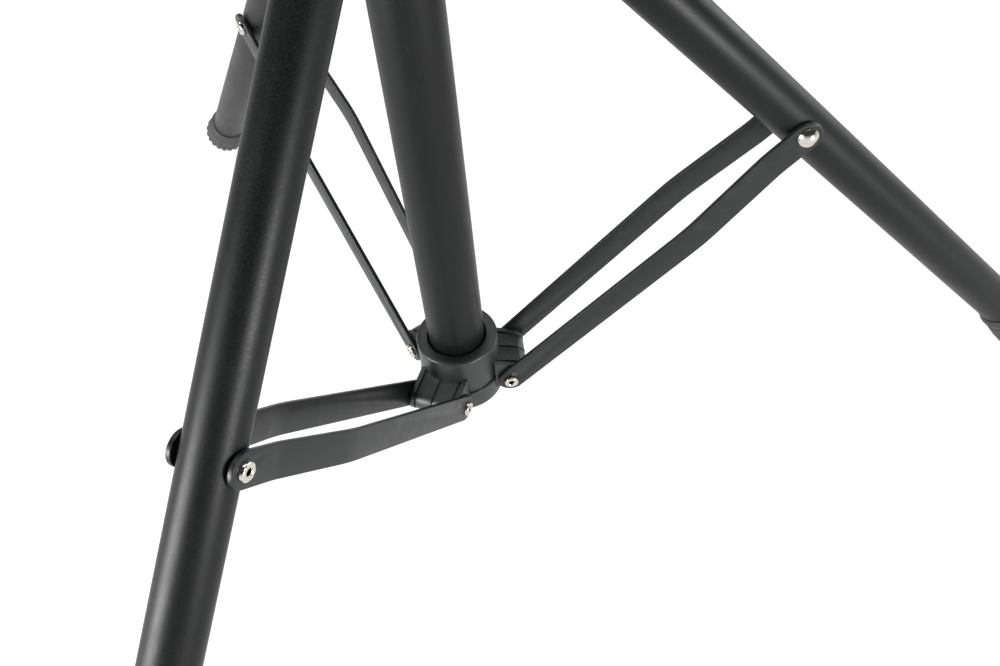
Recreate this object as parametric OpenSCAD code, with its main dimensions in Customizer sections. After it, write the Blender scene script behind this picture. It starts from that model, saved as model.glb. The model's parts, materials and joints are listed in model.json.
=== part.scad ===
// Folding three-legged hunting stand: a centre column carried by three braced legs,
// with a clamped sliding mast and a swivelling rest yoke on top.
// Millimetres, +Z up. The origin is on the column's axis at ground level, with the stand set up.

/* [Stance] */
// Angle of each leg, and of its straps, from vertical
leg_angle = 44.5; // [40:0.5:48]
// Strap length from pin to pin, which is also the leg's length from strap pin to top pivot
strap_pitch = 225; // [185:1:275]
// How much further the leg reaches below its strap pin than above it
leg_extra = 43; // [30:1:100]

/* [Column] */
// Outside diameter of the centre column
column_d = 34; // [28:0.5:42]
// Wall of the column tube
column_wall = 1.5; // [1.2:0.1:2.5]
// Bare column left between the folded collar and the mast clamp
column_spare = 6; // [2:1:120]

/* [Legs] */
// Outside diameter of a leg tube
leg_d = 25.4; // [21:0.1:31]
// Wall of a leg tube
leg_wall = 1.2; // [1:0.1:2]
// Gap between a folded leg and the column
fold_gap = 0.3; // [0.3:0.1:2]

/* [Straps] */
// Width of a flat strap
strap_w = 16; // [13:0.5:20]
// Thickness of a strap
strap_t = 2.5; // [2:0.1:3]
// How far a strap bows outward from its place at the hub
strap_bow = 3; // [1:0.1:5]
// Distance from the hub pin to the top of the bow
strap_bow_at = 150; // [120:1:160]
// Length of the flat end that lies against the leg, from the leg pin
strap_flat = 22; // [18:1:26]

/* [Rivets] */
// Shank diameter of the hub and leg rivets
rivet_d = 5; // [4:0.1:6]
// Diameter of the domed head on a leg rivet
dome_d = 12.5; // [10:0.5:14]
// Height of the domed head
dome_h = 3.2; // [2:0.1:4]
// Diameter of a rolled rivet end
eyelet_d = 9; // [8:0.5:11]
// Height of a rolled rivet end
eyelet_h = 2; // [1.5:0.1:3]

/* [Hub] */
// Wall between the column and the outside of the hub
hub_wall = 7.9; // [6.5:0.1:10]
// Height of the hub's rim above the pins
hub_up = 30; // [25:1:36]
// Depth of the hub below the pins
hub_down = 15; // [13:1:20]
// Gap between the column and the hub's rim
rim_gap = 0.8; // [0.6:0.1:2]
// Height of the groove's lower edge above the pins
groove_up = 0.8; // [-4:0.1:2]
// Radius of a lug's end flanges, under its pin and round its nose
lug_r = 8; // [6.5:0.1:9.6]
// How far the nose's centre lies outward from the pin
lug_out = 3.5; // [2:0.1:4.5]
// How far the nose's centre lies above the pin
lug_lift = 2.5; // [1:0.1:3]
// Half the width of a lug
lug_half = 15.5; // [14:0.5:18]

/* [Collar] */
// Wall of the collar round its liner
collar_wall = 2.3; // [2:0.1:3]
// Thickness of the nylon liner
liner_t = 1.1; // [0.8:0.1:1.6]
// Height of the collar above the leg pivots
collar_up = 46; // [42:1:54]
// Thickness of an ear
ear_t = 4; // [3:0.5:5]
// Radius of an ear, and of a leg's eye, round the pivot
ear_r = 9; // [8:0.2:10]

/* [Feet] */
// Outside radius of a foot at its tread
foot_r = 19; // [17:0.5:23]
// Rounding of the tread's edge
foot_edge = 4; // [3:0.5:5]
// Height of a foot along its leg
foot_h = 33; // [30:1:40]
// Rubber under the end of the leg tube
foot_sole = 9; // [7:1:12]
// Number of scallops round a foot
foot_flutes = 16; // [12:1:20]

/* [Mast] */
// Thickness of the nylon bush between the mast and the column
bush_t = 1.3; // [1:0.1:3]
// Wall of the mast tube
mast_wall = 1.2; // [1:0.1:2]
// Length of the mast tube
mast_len = 500; // [400:1:510]
// Mast above the column in the position shown
mast_out = 150; // [125:1:250]
// Height of the clamp housing on the column
clamp_h = 43; // [38:1:48]

/* [Knobs] */
// Diameter of a clamp knob
knob_d = 34; // [28:1:40]
// Thickness of a knob's grip
knob_t = 13; // [10:1:16]
// Diameter of a clamp screw
screw_d = 8; // [6:0.5:10]
// Number of lobes on a knob
knob_lobes = 6; // [5:1:8]

/* [Yoke] */
// Half the width of the cradle's floor between its corners
cradle_half = 21; // [18:1:30]
// Height of the arms above the cradle's floor
arm_h = 62; // [48:1:80]
// Lean of each arm from vertical
arm_lean = 14; // [8:1:22]
// Thickness of the yoke
yoke_t = 6; // [5:0.5:8]
// Width of the yoke from front to back
yoke_w = 28; // [24:1:34]
// Thickness of the rubber liner
pad_t = 3; // [2:0.5:4]

/* [Hidden] */
$fn = 64;
legs = ["right", "rear", "front"];
leg_turn = [0, 120, 240];
fit = 0.1;         // radial gap of a piece that is pressed or screwed in
run = 0.1;         // radial gap of a pin or shaft that turns or slides
seat = 0.3;        // gap between pieces that move past each other
big = 400;         // longer than any piece that it cuts

column_r = column_d / 2;
column_in = column_r - column_wall;
leg_r = leg_d / 2;
hub_r = column_r + hub_wall;
hub_ring = 0.8;    // how far the hub's lower ring stands out
rivet_r = rivet_d / 2;
strap_half = strap_t / 2;

// The pins stand clear of the column for the folded legs, and clear of the hub for the straps' inner edges.
strap_clear = strap_w / 2 + sqrt(pow(hub_r + hub_ring + seat, 2) - pow(lug_half + seat, 2));
pin_r = max(column_r + leg_r + fold_gap, strap_clear);

// Heights follow from the leg triangle: strap and upper leg are equally long and equally steep.
leg_below = strap_pitch + leg_extra;
tread_low = (leg_below - foot_edge - strap_pitch) * cos(leg_angle)
    + (foot_r - foot_edge) * sin(leg_angle) + foot_edge;
hub_z = tread_low;
collar_z = hub_z + 2 * strap_pitch * cos(leg_angle);
fold_lean = 3.5;   // angle of a folded leg from vertical
liner_lip = 1.2;   // thickness of the liner's flange on the collar
column_top = hub_z + 2 * strap_pitch * cos(fold_lean) + collar_up + liner_lip + column_spare + clamp_h;
hub_floor = 4;
rim_depth = 12;
plug_h = 24;
lug_waist = 1.3;   // how far the barrel lies below its flanges
lug_band = 0.35;   // how far its two bands lie below them
flange_half = 1.6;
band_half = 5.1;
band_at = 6;       // middle of a band, from the middle of the lug
lug_slope = 72;    // angle of the normal of the lug's top from outward
lug_web = pin_r - column_r - 2;
nose_turn = atan2(lug_lift, lug_out) - 90;
washer_low = hub_z - hub_down - 1.5;
screw_head_r = 5.5;
screw_head_h = 4.2;
socket_r = 2.9;
socket_h = 2.4;
column_foot = hub_z - hub_down + hub_floor;

// Strap places, as distances of its middle plane from the middle plane of the leg.
strap_at_hub = lug_half + seat + strap_half;
strap_at_leg = leg_r + seat + strap_half;
hub_rivet_half = strap_at_hub + strap_half + 0.1;
leg_rivet_half = strap_at_leg + strap_half + 0.1;

liner_r = column_r + run + liner_t;
sleeve_r = liner_r + fit + collar_wall;
ear_in = leg_r + 0.45;
ear_out = ear_in + ear_t;
collar_low = ear_r + 1;
eye_half = ear_in - 0.7;
tube_gap = 20;     // from the top pivot down to the end of the leg tube
tube_top = strap_pitch - tube_gap;
tube_low = -leg_below + foot_sole;
shoulder_r = leg_r - 0.8;
sleeve_wall = 1.5; // of the brass sleeve in the leg's eye
foot_low = -leg_below;
foot_top = foot_low + foot_h;
flute_r = 1.6;

screw_r = screw_d / 2;
pad_r = screw_r + 0.6;
boss_r = screw_r + 4;
collar_boss_z = collar_z + 26;
collar_boss_turn = 60;
collar_boss_end = sleeve_r + 12;
collar_pad_end = liner_r + 1.4;
clamp_boss_z = column_top - 22;
clamp_boss_turn = 180;
clamp_r = column_r + 4.5;
clamp_boss_end = clamp_r + 10;
mast_pad_end = column_r + 1.4;
clamp_lip = 4;
knob_neck = 5;

mast_r = column_in - fit - bush_t - run;
bush_len = 40;
mast_in = mast_r - mast_wall;
mast_top = column_top + mast_out;
mast_foot = mast_top - mast_len;
bush_r = column_in - fit;
head_h = 24;
head_r = mast_r;
head_top = mast_top + head_h;
washer_t = 1;
base_h = 12;
base_z = head_top + washer_t + 0.2;
floor_z = base_z + base_h + yoke_t;
bolt_head_r = 6.5;
bolt_head_h = 5;
bolt_reach = 20;
bolt_seat = base_z + base_h - 2;
insert_r = 5;

// ---- Outlines ----

function unit(v) = v / norm(v);

// Points of the arc of radius r that rounds the corner b of the line a, b, c.
function bend(a, b, c, r, steps = 8) =
    let (
        u = unit(a - b),
        v = unit(c - b),
        half = acos(u * v) / 2,
        centre = b + unit(u + v) * r / sin(half),
        first = b + u * r / tan(half) - centre,
        last = b + v * r / tan(half) - centre,
        start = atan2(first[1], first[0]),
        sweep = (first[0] * last[1] - first[1] * last[0] > 0 ? 1 : -1) * (180 - 2 * half)
    )
    [for (i = [0:steps]) centre + r * [cos(start + sweep * i / steps), sin(start + sweep * i / steps)]];

// The path moved sideways by d, to its left.
function beside(path, d) =
    [for (i = [0:len(path) - 1])
        let (way = unit(path[min(i + 1, len(path) - 1)] - path[max(i - 1, 0)]))
        path[i] + d * [-way[1], way[0]]];

function backward(path) = [for (i = [len(path) - 1:-1:0]) path[i]];

// The strip between two lines that run beside a path.
module band(path, d1, d2) polygon(concat(beside(path, d1), backward(beside(path, d2))));

// A quarter turn of an edge rounded with radius r about the point c.
function edge(c, r, from, to, steps = 6) =
    [for (i = [0:steps]) c + r * [cos(from + (to - from) * i / steps), sin(from + (to - from) * i / steps)]];

module across(half, r) rotate([90, 0, 0]) cylinder(r = r, h = 2 * half, center = true);

// ---- Placing ----

module at_leg(i) rotate([0, 0, leg_turn[i]]) children();

// The frame of a leg's straps: the hub pin, with +Z up along the strap and +Y across it.
module at_strap(i) at_leg(i) translate([pin_r, 0, hub_z]) rotate([0, leg_angle, 0]) children();

// The frame of a leg: its strap pin, with +Z up along the tube and +Y across it.
module at_tube(i)
    at_leg(i)
    translate([pin_r + strap_pitch * sin(leg_angle), 0, hub_z + strap_pitch * cos(leg_angle)])
    rotate([0, -leg_angle, 0])
    children();

// The frame of a clamp screw: the column's axis, with +Z outward along the screw.
module at_boss(turn, z) rotate([0, 0, turn]) translate([0, 0, z]) rotate([0, 90, 0]) children();

module ring(outer, inner, z1, z2)
    translate([0, 0, z1])
    difference() {
        cylinder(r = outer, h = z2 - z1);
        translate([0, 0, -1]) cylinder(r = inner, h = z2 - z1 + 2);
    }

// ---- Column and hub ----

module column_tube() color("#2b2d2e")
    difference() {
        ring(column_r, column_in, column_foot, column_top);
        at_boss(clamp_boss_turn, clamp_boss_z) cylinder(r = pad_r + fit, h = big);
    }

module column_plug() color("#202122")
    difference() {
        translate([0, 0, column_foot]) cylinder(r = column_in - fit, h = plug_h);
        translate([0, 0, column_foot - 1]) cylinder(r = insert_r, h = plug_h - 5);
    }

module plug_insert() color("#b08d4a")
    ring(insert_r - fit / 2, 3 + fit / 2, column_foot + 1, column_foot + plug_h - 7);

// The hub's outline, from the column's bore out and up round the rim.
module hub_body()
    rotate_extrude($fn = 96)
    polygon(concat(
        [[3.4, -hub_down], [hub_r - 0.6, -hub_down], [hub_r + hub_ring, -hub_down + 1.4]],
        [[hub_r + hub_ring, groove_up], [hub_r - 0.7, groove_up + 0.8]],
        [[hub_r - 0.7, groove_up + 2], [hub_r, groove_up + 2.8]],
        edge([hub_r - 2, hub_up - 2], 2, 0, 90),
        [[column_r + rim_gap + 0.8, hub_up], [column_r + rim_gap, hub_up - 0.8],
         [column_r + rim_gap, hub_up - rim_depth], [column_r + fit, hub_up - rim_depth],
         [column_r + fit, -hub_down + hub_floor], [3.4, -hub_down + hub_floor]]
    ));

// Side view of a lug, d below its flanges: round under the pin, then the nose, then a top that slopes up.
module lug_side(d)
    polygon(concat(
        [[-lug_web, d - lug_r]],
        edge([0, 0], lug_r - d, -90, nose_turn, 3),
        edge([lug_out, lug_lift], lug_r - d, nose_turn, lug_slope, 10),
        [[-lug_web, lug_lift + (lug_r - d + (lug_web + lug_out) * cos(lug_slope)) / sin(lug_slope)]]
    ));

module lug_slice(middle, half, d)
    translate([0, middle, 0]) rotate([90, 0, 0]) linear_extrude(2 * half, center = true) lug_side(d);

module lug() {
    lug_slice(0, lug_half, lug_waist);
    for (side = [-1, 1]) {
        lug_slice(side * (lug_half - flange_half), flange_half, 0);
        lug_slice(side * band_at, band_half, lug_band);
    }
}

module hub() color("#1e2020")
    translate([0, 0, hub_z])
    difference() {
        union() {
            hub_body();
            difference() {
                for (i = [0:2]) at_leg(i) translate([pin_r, 0, 0]) lug();
                translate([0, 0, -big / 2]) cylinder(r = column_r + 2, h = big);
            }
        }
        for (i = [0:2]) at_leg(i) translate([pin_r, 0, 0]) across(lug_half + 1, rivet_r + fit / 2);
    }

module hub_washer() color("silver") ring(8.5, 3.3, washer_low, hub_z - hub_down);

module hub_screw() color("silver") {
    difference() {
        translate([0, 0, washer_low - screw_head_h]) cylinder(r = screw_head_r, h = screw_head_h);
        translate([0, 0, washer_low - screw_head_h - 1]) cylinder(r = socket_r, h = socket_h + 1, $fn = 6);
    }
    translate([0, 0, washer_low]) cylinder(r = 3, h = 18);
}

// A rolled, hollow rivet end that starts at the height z on +Z.
module eyelet(z)
    translate([0, 0, z])
    rotate_extrude($fn = 48)
    polygon(concat(
        [[rivet_r - 0.9, 0]],
        [[eyelet_d / 2, 0]],
        edge([eyelet_d / 2 - 1.1, 0.9], 1.1, 0, 100),
        [[rivet_r - 0.5, eyelet_h], [rivet_r - 0.9, eyelet_h - 0.5]]
    ));

module tubular_shank(half)
    difference() {
        cylinder(r = rivet_r, h = 2 * half, center = true);
        cylinder(r = rivet_r - 0.9, h = 2 * half + 2, center = true);
    }

module hub_rivet(i) color("silver")
    at_leg(i) translate([pin_r, 0, hub_z]) rotate([90, 0, 0]) {
        tubular_shank(hub_rivet_half);
        eyelet(hub_rivet_half);
        mirror([0, 0, 1]) eyelet(hub_rivet_half);
    }

// ---- Straps ----

// The strap's middle line from above: [distance from the hub pin, distance from the leg's middle plane].
strap_from = [-strap_w, strap_at_hub - strap_bow * strap_w / strap_bow_at];
strap_crest = [strap_bow_at, strap_at_hub + strap_bow];
strap_knee = [strap_pitch - strap_flat, strap_at_leg];
strap_to = [strap_pitch + strap_w, strap_at_leg];
strap_path = concat(
    [strap_from],
    bend(strap_from, strap_crest, strap_knee, 130),
    bend(strap_crest, strap_knee, strap_to, 60),
    [strap_to]
);

// One strap on the +Y side of its leg.
module strap_solid()
    difference() {
        intersection() {
            rotate([0, -90, 0])
                linear_extrude(strap_w, center = true) band(strap_path, -strap_half, strap_half);
            union() {
                for (z = [0, strap_pitch]) translate([0, 0, z]) across(big / 2, strap_w / 2);
                translate([-strap_w / 2, -big / 2, 0]) cube([strap_w, big, strap_pitch]);
            }
        }
        for (z = [0, strap_pitch]) translate([0, 0, z]) across(big / 2, rivet_r + run);
    }

module strap(i, side) color("#26282a") at_strap(i) mirror([0, side < 0 ? 1 : 0, 0]) strap_solid();

// ---- Legs ----

module leg_tube(i) color("#2b2d2e")
    at_tube(i)
    difference() {
        ring(leg_r, leg_r - leg_wall, tube_low, tube_top);
        across(leg_r + 1, rivet_r + fit / 2);
    }

// Dome on the -Y side, rolled end on the +Y side.
module leg_rivet(i) color("silver")
    at_tube(i) rotate([90, 0, 0]) {
        ball = (dome_d * dome_d / 4 + dome_h * dome_h) / (2 * dome_h);
        tubular_shank(leg_rivet_half);
        translate([0, 0, leg_rivet_half])
            intersection() {
                translate([0, 0, dome_h - ball]) sphere(r = ball, $fn = 96);
                cylinder(r = dome_d / 2, h = dome_h + 1);
            }
        mirror([0, 0, 1]) eyelet(leg_rivet_half);
    }

module leg_plug(i) color("#1e2020")
    at_tube(i)
    difference() {
        union() {
            translate([0, 0, tube_top - 28]) cylinder(r = leg_r - leg_wall - fit, h = 28);
            translate([0, 0, tube_top]) cylinder(r = shoulder_r, h = 2);
            translate([-ear_r, -eye_half, tube_top]) cube([2 * ear_r, 2 * eye_half, tube_gap]);
            translate([0, 0, strap_pitch]) across(eye_half, ear_r);
        }
        translate([0, 0, strap_pitch]) across(ear_in, rivet_r + sleeve_wall + fit / 2);
        translate([0, 0, tube_top + 1]) ring(2 * leg_r, leg_r, -2, tube_gap);
    }

module pivot_sleeve(i) color("#b08d4a")
    at_tube(i) translate([0, 0, strap_pitch])
    difference() {
        across(ear_in - 0.35, rivet_r + sleeve_wall);
        across(ear_in, rivet_r);
    }

// The foot's section, with the leg's axis on the left and its tread at the bottom.
module foot_body()
    rotate_extrude($fn = 96)
    polygon(concat(
        [[0, foot_low + 1.5], [foot_r - foot_edge - 5, foot_low + 1.5], [foot_r - foot_edge - 3.5, foot_low]],
        edge([foot_r - foot_edge, foot_low + foot_edge], foot_edge, -90, 8),
        [[leg_r + 3, foot_top - 10], [leg_r + 1.5, foot_top - 8.5], [leg_r + 1.5, foot_top - 6.5],
         [leg_r + 2.6, foot_top - 5.4]],
        edge([leg_r + 1.1, foot_top - 1.5], 1.5, 0, 90, 4),
        [[leg_r + fit, foot_top], [leg_r + fit, tube_low], [0, tube_low]]
    ));

module rubber_foot(i) color("#3a3b3a")
    at_tube(i)
    difference() {
        foot_body();
        for (n = [0:foot_flutes - 1])
            rotate([0, 0, (n + 0.5) * 360 / foot_flutes])
            translate([foot_r + 0.5, 0, foot_low - 1])
            rotate([0, -atan((foot_r - leg_r - 3) / (foot_h - 14)), 0])
            cylinder(r = flute_r, h = foot_h - 9);
    }

// ---- Collar ----

module ear(side)
    translate([0, side * (ear_in + ear_t / 2), 0]) {
        translate([pin_r, 0, 0]) across(ear_t / 2, ear_r);
        translate([column_r / 2, -ear_t / 2, -ear_r]) cube([pin_r - column_r / 2, ear_t, 2 * ear_r]);
        translate([column_r / 2, -ear_t / 2, 0]) cube([sleeve_r - column_r / 2, ear_t, collar_up - 8]);
    }

module leg_collar() color("#1e2020")
    difference() {
        union() {
            translate([0, 0, collar_z])
                rotate_extrude($fn = 96)
                polygon(concat(
                    [[column_r, -collar_low], [sleeve_r - 1, -collar_low], [sleeve_r, -collar_low + 3],
                     [sleeve_r, collar_up - 9], [sleeve_r + 2, collar_up - 7]],
                    edge([sleeve_r + 0.5, collar_up - 1.5], 1.5, 0, 90, 4),
                    [[column_r, collar_up]]
                ));
            translate([0, 0, collar_z])
                for (i = [0:2], side = [-1, 1]) at_leg(i) ear(side);
            at_boss(collar_boss_turn, collar_boss_z)
                translate([0, 0, column_r]) cylinder(r = boss_r, h = collar_boss_end - column_r);
        }
        translate([0, 0, collar_z - big / 2]) cylinder(r = liner_r + fit, h = big, $fn = 96);
        translate([0, 0, collar_z])
            for (i = [0:2]) at_leg(i) translate([pin_r, 0, 0]) across(ear_out + 1, rivet_r + fit / 2);
        at_boss(collar_boss_turn, collar_boss_z) clamp_bore(collar_pad_end);
    }

module collar_liner() color("#d8d8d2")
    difference() {
        union() {
            ring(liner_r, column_r + run, collar_z - collar_low, collar_z + collar_up);
            ring(sleeve_r, column_r + run, collar_z + collar_up, collar_z + collar_up + liner_lip);
        }
        at_boss(collar_boss_turn, collar_boss_z) cylinder(r = pad_r + fit, h = big);
    }

// The pivot's rivets stand in the ears only, so that the leg's eye can pass between them.
module collar_rivets(i) color("silver")
    at_leg(i) translate([pin_r, 0, collar_z])
    for (side = [0, 1]) mirror([0, side, 0]) rotate([90, 0, 0]) {
        translate([0, 0, ear_in]) cylinder(r = rivet_r, h = ear_t);
        translate([0, 0, ear_out])
            rotate_extrude($fn = 48)
            polygon(concat([[0, 0], [eyelet_d / 2, 0]], edge([eyelet_d / 2 - 1.2, 0.8], 1.2, 0, 90), [[0, 2]]));
    }

// ---- Clamp screws and knobs ----

// The hole for a pad that ends at end_r, and for its screw beyond.
module clamp_bore(end_r)
    rotate_extrude()
    polygon([[0, 0], [pad_r + fit, 0], [pad_r + fit, end_r + 0.3], [screw_r + fit, end_r + 0.3],
             [screw_r + fit, big], [0, big]]);

// A pad between a tube of radius face_r and the screw's end at end_r.
module clamp_pad(face_r, end_r)
    difference() {
        cylinder(r = pad_r, h = end_r);
        rotate([0, 90, 0]) translate([0, 0, -big / 2]) cylinder(r = face_r, h = big);
    }

// A screw from from_r outward into its knob, whose neck starts at neck_r.
module clamp_screw(from_r, neck_r)
    translate([0, 0, from_r]) cylinder(r = screw_r, h = neck_r + knob_neck + 6 - from_r);

module knob(neck_r)
    translate([0, 0, neck_r])
    difference() {
        union() {
            cylinder(r = screw_r + 4, h = knob_neck + 1);
            translate([0, 0, knob_neck])
                rotate_extrude($fn = 96)
                polygon(concat(
                    [[0, 0], [knob_d / 2 - 2, 0], [knob_d / 2, 2]],
                    edge([knob_d / 2 - 3, knob_t - 3], 3, 0, 90),
                    [[0, knob_t]]
                ));
        }
        translate([0, 0, -1]) cylinder(r = screw_r + fit / 2, h = knob_neck + 7.1);
        for (n = [0:knob_lobes - 1])
            rotate([0, 0, (n + 0.5) * 360 / knob_lobes])
            translate([knob_d / 2 + 4, 0, knob_neck - 1])
            cylinder(r = knob_d / 5, h = knob_t + 2);
    }

module collar_pad() color("#b08d4a")
    at_boss(collar_boss_turn, collar_boss_z) clamp_pad(column_r + 0.2, collar_pad_end);

module collar_screw() color("silver")
    at_boss(collar_boss_turn, collar_boss_z) clamp_screw(collar_pad_end + 0.1, collar_boss_end + 1);

module collar_knob() color("#1b1c1d")
    at_boss(collar_boss_turn, collar_boss_z) knob(collar_boss_end + 1);

module mast_pad() color("#b08d4a")
    at_boss(clamp_boss_turn, clamp_boss_z) clamp_pad(mast_r + 0.2, mast_pad_end);

module mast_screw() color("silver")
    at_boss(clamp_boss_turn, clamp_boss_z) clamp_screw(mast_pad_end + 0.1, clamp_boss_end + 1);

module mast_knob() color("#1b1c1d")
    at_boss(clamp_boss_turn, clamp_boss_z) knob(clamp_boss_end + 1);

// ---- Mast clamp and mast ----

module mast_clamp() color("#1e2020")
    difference() {
        union() {
            translate([0, 0, column_top])
                rotate_extrude($fn = 96)
                polygon(concat(
                    [[column_r + fit, -clamp_h], [clamp_r - 1, -clamp_h], [clamp_r, -clamp_h + 1]],
                    edge([clamp_r - 2, clamp_lip - 2], 2, 0, 90),
                    [[mast_r + 0.6, clamp_lip], [mast_r + 0.6, 1.6], [column_r + fit, 1.6]]
                ));
            at_boss(clamp_boss_turn, clamp_boss_z)
                translate([0, 0, column_r + 1]) cylinder(r = boss_r, h = clamp_boss_end - column_r - 1);
        }
        at_boss(clamp_boss_turn, clamp_boss_z) clamp_bore(mast_pad_end);
        translate([0, 0, clamp_boss_z - 2 * boss_r]) cylinder(r = column_r + fit, h = 4 * boss_r - 1, $fn = 96);
    }

module mast_bush() color("#d8d8d2")
    difference() {
        union() {
            ring(bush_r, mast_r + run, column_top - bush_len, column_top);
            ring(column_r, mast_r + run, column_top, column_top + 1.4);
        }
        at_boss(clamp_boss_turn, clamp_boss_z) cylinder(r = pad_r + fit, h = big);
    }

module mast_tube() color("#2b2d2e") ring(mast_r, mast_in, mast_foot, mast_top);

module mast_end_plug() color("#d8d8d2") {
    translate([0, 0, mast_foot - 8]) cylinder(r = column_in - run, h = 8);
    translate([0, 0, mast_foot]) cylinder(r = mast_in - fit, h = 22);
}

module mast_head() color("#1e2020")
    difference() {
        union() {
            translate([0, 0, mast_top - 26]) cylinder(r = mast_in - fit, h = 26);
            translate([0, 0, mast_top])
                rotate_extrude($fn = 96)
                polygon(concat(
                    [[0, 0], [mast_r + 1, 0], [mast_r + 1, 3], [head_r - 3, 8]],
                    [[head_r - 3, head_h - 6], [head_r, head_h - 3], [head_r, head_h - 0.6]],
                    [[head_r - 0.6, head_h], [0, head_h]]
                ));
        }
        translate([0, 0, head_top - bolt_reach]) cylinder(r = 4 + fit / 2, h = bolt_reach + 1);
    }

module swivel_washer() color("#d8d8d2") ring(head_r - 1, 4.3, head_top, head_top + washer_t);

module swivel_bolt() color("silver") {
    head_low = bolt_seat + 0.1;
    translate([0, 0, head_top - bolt_reach + 1]) cylinder(r = 4, h = head_low - head_top + bolt_reach - 1);
    difference() {
        translate([0, 0, head_low]) cylinder(r = bolt_head_r, h = bolt_head_h);
        translate([0, 0, head_low + bolt_head_h - socket_h]) cylinder(r = socket_r, h = socket_h + 1, $fn = 6);
    }
}

// ---- Yoke ----

// Middle line of the cradle's wall, from the top of one arm down, across and up the other.
arm_out = arm_h * tan(arm_lean);
cradle_corner = [cradle_half, floor_z - yoke_t / 2];
arm_tip = [cradle_half + arm_out, floor_z + arm_h];
function other_side(p) = [-p[0], p[1]];
cradle_path = concat(
    [other_side(arm_tip)],
    bend(other_side(arm_tip), other_side(cradle_corner), cradle_corner, 13),
    bend(other_side(cradle_corner), cradle_corner, arm_tip, 13),
    [arm_tip]
);

module cradle(d1, d2, w) rotate([90, 0, 0]) linear_extrude(w, center = true) band(cradle_path, d1, d2);

module yoke() color("#1e2020")
    difference() {
        union() {
            cradle(-yoke_t / 2, yoke_t / 2, yoke_w);
            translate([0, 0, base_z]) cylinder(r = head_r, h = base_h + 1);
            for (side = [-1, 1])
                translate([side * arm_tip[0], 0, arm_tip[1]]) across(yoke_w / 2, yoke_t / 2 + 1.2);
        }
        translate([0, 0, base_z - 1]) cylinder(r = 4 + run, h = base_h + yoke_t);
        translate([0, 0, bolt_seat]) cylinder(r = bolt_head_r + 0.5, h = big);
    }

// The liner lies inside the cradle's wall and stops short of the arms' rounded tips.
module yoke_liner() color("#2a2a2a")
    intersection() {
        cradle(yoke_t / 2 + 0.05, yoke_t / 2 + pad_t, yoke_w - 4);
        translate([-big / 2, -big / 2, 0]) cube([big, big, arm_tip[1] - yoke_t]);
    }

// ---- The whole stand ----

column_tube();
column_plug();
plug_insert();
hub();
hub_washer();
hub_screw();
for (i = [0:2]) {
    hub_rivet(i);
    strap(i, -1);
    strap(i, 1);
    leg_tube(i);
    leg_rivet(i);
    leg_plug(i);
    pivot_sleeve(i);
    rubber_foot(i);
    collar_rivets(i);
}
leg_collar();
collar_liner();
collar_pad();
collar_screw();
collar_knob();
mast_clamp();
mast_bush();
mast_pad();
mast_screw();
mast_knob();
mast_tube();
mast_end_plug();
mast_head();
swivel_bolt();
swivel_washer();
yoke();
yoke_liner();
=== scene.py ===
"""The looks of a folding three-legged hunting stand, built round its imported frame."""

import json
import math

import bmesh
import bpy
from mathutils import Matrix, Vector


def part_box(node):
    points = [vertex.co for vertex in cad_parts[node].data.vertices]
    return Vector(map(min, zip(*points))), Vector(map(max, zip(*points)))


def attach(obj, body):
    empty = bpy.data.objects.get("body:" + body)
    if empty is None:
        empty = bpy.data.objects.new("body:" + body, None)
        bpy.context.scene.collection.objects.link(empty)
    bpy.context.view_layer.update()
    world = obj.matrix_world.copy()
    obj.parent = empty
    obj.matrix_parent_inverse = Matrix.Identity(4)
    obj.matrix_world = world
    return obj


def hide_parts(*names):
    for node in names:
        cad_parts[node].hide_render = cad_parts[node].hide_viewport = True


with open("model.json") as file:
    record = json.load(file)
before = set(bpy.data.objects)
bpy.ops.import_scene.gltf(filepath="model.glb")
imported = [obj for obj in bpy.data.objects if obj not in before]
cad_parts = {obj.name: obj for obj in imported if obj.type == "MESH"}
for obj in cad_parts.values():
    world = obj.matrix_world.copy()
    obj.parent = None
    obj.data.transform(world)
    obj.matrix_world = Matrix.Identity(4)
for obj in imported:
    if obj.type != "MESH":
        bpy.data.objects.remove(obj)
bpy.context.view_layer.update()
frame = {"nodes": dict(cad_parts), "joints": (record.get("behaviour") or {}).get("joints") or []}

MM = 0.001
SIDES = ("right", "rear", "front")
joints = {joint["name"]: joint for joint in frame["joints"]}

# Sizes in millimetres.
LEG_R = 12.7
LEG_WALL = 1.2
COLUMN_R = 17
COLUMN_WALL = 1.5
MAST_R = 14
MAST_WALL = 1.2
STRAP_W = 16
STRAP_T = 2.5
RIVET_R = 2.5
RIVET_WALL = 0.9
DOME_R = 5.5
DOME_H = 3.7
RUN = 0.1                 # clearance of a pin in its hole
FIT = 0.1                 # clearance of a part that is pressed or set into another
LUG_HALF = 15.5
LUG_R = 8
PIN_R = 30
KNOB_R = 17
STRAP_AT_HUB = 17.05      # the strap's middle plane from the leg's, at the hub
STRAP_AT_CREST = 20.05
STRAP_AT_LEG = 14.25
STRAP_CREST = 150         # distance of the bow's crest from the hub pin
STRAP_FLAT = 22           # length of the flat end, from the leg pin


def mm(value):
    """A length of the frame, in millimetres."""
    return value / MM


def low(node):
    """Height of a CAD node's lowest point."""
    return mm(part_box(node)[0].z)


def high(node):
    """Height of a CAD node's highest point."""
    return mm(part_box(node)[1].z)


# ---- Places ----

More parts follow.
